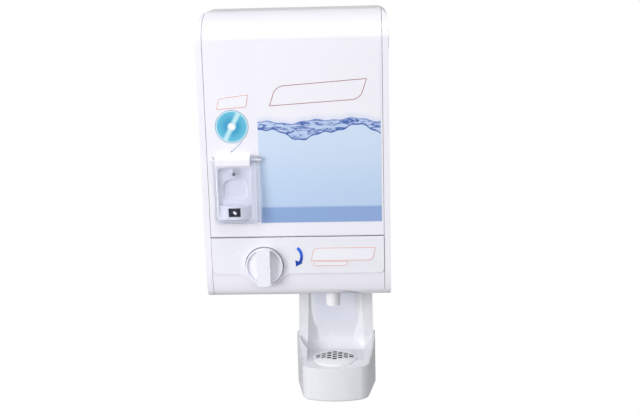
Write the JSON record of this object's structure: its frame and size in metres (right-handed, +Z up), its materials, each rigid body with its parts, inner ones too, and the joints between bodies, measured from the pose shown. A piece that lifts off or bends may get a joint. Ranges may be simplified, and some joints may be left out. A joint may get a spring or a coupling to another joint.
{
  "type": "dental floss dispenser",
  "caption": "Wall-mounted white dispenser for dental floss and mouthwash: dropping front door, clear hood over the floss outlet, dosing knob, and a drip station hanging below.",
  "frame": {"origin": "centre of the four wall screw holes, on the wall plane behind the wall plate", "axes": "+X to the right as seen by the user, -Y out of the wall towards the user, +Z up"},
  "size_m": [0.2234, 0.1212, 0.481],
  "materials": {
    "white_shell": "smooth glossy moulded plastic",
    "base_plastic": "smooth satin moulded plastic",
    "fascia_white": "smooth glossy moulded plastic",
    "knob_white": "glossy moulded plastic",
    "station_white": "polished moulded plastic",
    "bay_white": "glossy moulded plastic",
    "clear_plastic": "clear polished plastic",
    "label_film": "printed film",
    "badge_film": "printed film",
    "arrow_film": "printed film",
    "blade_steel": "blackened steel strip with one bright tooth",
    "fastener_steel": "zinc plated",
    "lock_chrome": "polished plating",
    "tube_silicone": "translucent silicone",
    "pump_plastic": "satin moulded plastic",
    "rotor_plastic": "satin moulded plastic",
    "roller_plastic": "satin moulded plastic",
    "bag_film": "filled clear film bag",
    "spout_plastic": "satin moulded plastic",
    "hook_plastic": "satin moulded plastic",
    "reel_plastic": "satin moulded plastic",
    "floss_yarn": "waxed floss wound level"
  },
  "bodies": {
    "housing": {"rear_base": "base_plastic", "left_side_panel": "white_shell", "right_side_panel": "white_shell", "lower_cover": "white_shell", "control_fascia": "fascia_white", "instruction_plate": "label_film", "arrow_plate": "arrow_film", "panel_screws": "fastener_steel", "door_hinge_pins": "fastener_steel", "lock_sleeve": "lock_chrome", "lock_nut": "lock_chrome", "pump_body": "pump_plastic", "pump_cover": "pump_plastic", "pump_screws": "fastener_steel", "pump_tube": "tube_silicone", "mouthwash_bag": "bag_film", "bag_connector": "spout_plastic", "bag_hook": "hook_plastic", "mouthwash_nozzle": "station_white", "station_frame": "station_white", "station_plate": "label_film", "station_screws": "fastener_steel"},
    "door": {"front_door": "white_shell", "front_label": "label_film", "reel_badge": "badge_film", "floss_tag": "label_film", "floss_bay": "bay_white", "floss_brow": "bay_white", "brow_screws": "fastener_steel", "floss_nozzle": "bay_white", "cutter_holder": "bay_white", "cutter_blade": "blade_steel", "hood_pins": "bay_white", "reel_spindle": "hook_plastic", "spindle_cap": "hook_plastic", "tension_washer": "fastener_steel", "strand_guide": "fastener_steel", "floss_strand": "floss_yarn"},
    "hood": {"clear_hood": "clear_plastic"},
    "reel": {"reel_spool": "reel_plastic", "floss_winding": "floss_yarn"},
    "knob": {"knob": "knob_white", "knob_shaft": "fastener_steel", "shaft_clip": "fastener_steel", "pump_rotor": "rotor_plastic", "roller_pins": "fastener_steel"},
    "roller_1": {"roller_1": "roller_plastic"},
    "roller_2": {"roller_2": "roller_plastic"},
    "roller_3": {"roller_3": "roller_plastic"},
    "lock": {"lock_cylinder": "lock_chrome", "lock_cam": "lock_chrome"},
    "drip_cup": {"drip_cup": "station_white"},
    "grille": {"drain_grille": "station_white"}
  },
  "joints": [
    {"name": "door_open", "type": "hinge", "parent": "housing", "child": "door", "pos_m": [0, -0.1025, -0.1072], "axis": [1, 0, 0], "range_deg": [0, 60]},
    {"name": "hood_lift", "type": "hinge", "parent": "door", "child": "hood", "pos_m": [-0.068, -0.1101, -0.0156], "axis": [-1, 0, 0], "range_deg": [0, 80]},
    {"name": "reel_turn", "type": "hinge", "parent": "door", "child": "reel", "pos_m": [-0.072, -0.085, 0.012], "axis": [0, 1, 0], "continuous": true},
    {"name": "knob_turn", "type": "hinge", "parent": "housing", "child": "knob", "pos_m": [-0.04, -0.1, -0.144], "axis": [0, 1, 0], "continuous": true},
    {"name": "roller_1_turn", "type": "hinge", "parent": "knob", "child": "roller_1", "pos_m": [-0.0243, -0.06, -0.144], "axis": [0, 1, 0], "continuous": true},
    {"name": "roller_2_turn", "type": "hinge", "parent": "knob", "child": "roller_2", "pos_m": [-0.04785, -0.06, -0.1576], "axis": [0, 1, 0], "continuous": true},
    {"name": "roller_3_turn", "type": "hinge", "parent": "knob", "child": "roller_3", "pos_m": [-0.04785, -0.06, -0.1304], "axis": [0, 1, 0], "continuous": true},
    {"name": "lock_turn", "type": "hinge", "parent": "housing", "child": "lock", "pos_m": [0.105, -0.04, 0.115], "axis": [-1, 0, 0], "range_deg": [0, 90]},
    {"name": "drip_cup_slide", "type": "slide", "parent": "housing", "child": "drip_cup", "axis": [0, -1, 0], "range_m": [0, 0.06]},
    {"name": "grille_lift", "type": "slide", "parent": "housing", "child": "grille", "axis": [0, 0, 1], "range_m": [0, 0.02]}
  ],
  "couplings": [
    {"joint": "roller_1_turn", "follows": "knob_turn", "ratio": -4.14},
    {"joint": "roller_2_turn", "follows": "knob_turn", "ratio": -4.14},
    {"joint": "roller_3_turn", "follows": "knob_turn", "ratio": -4.14}
  ]
}
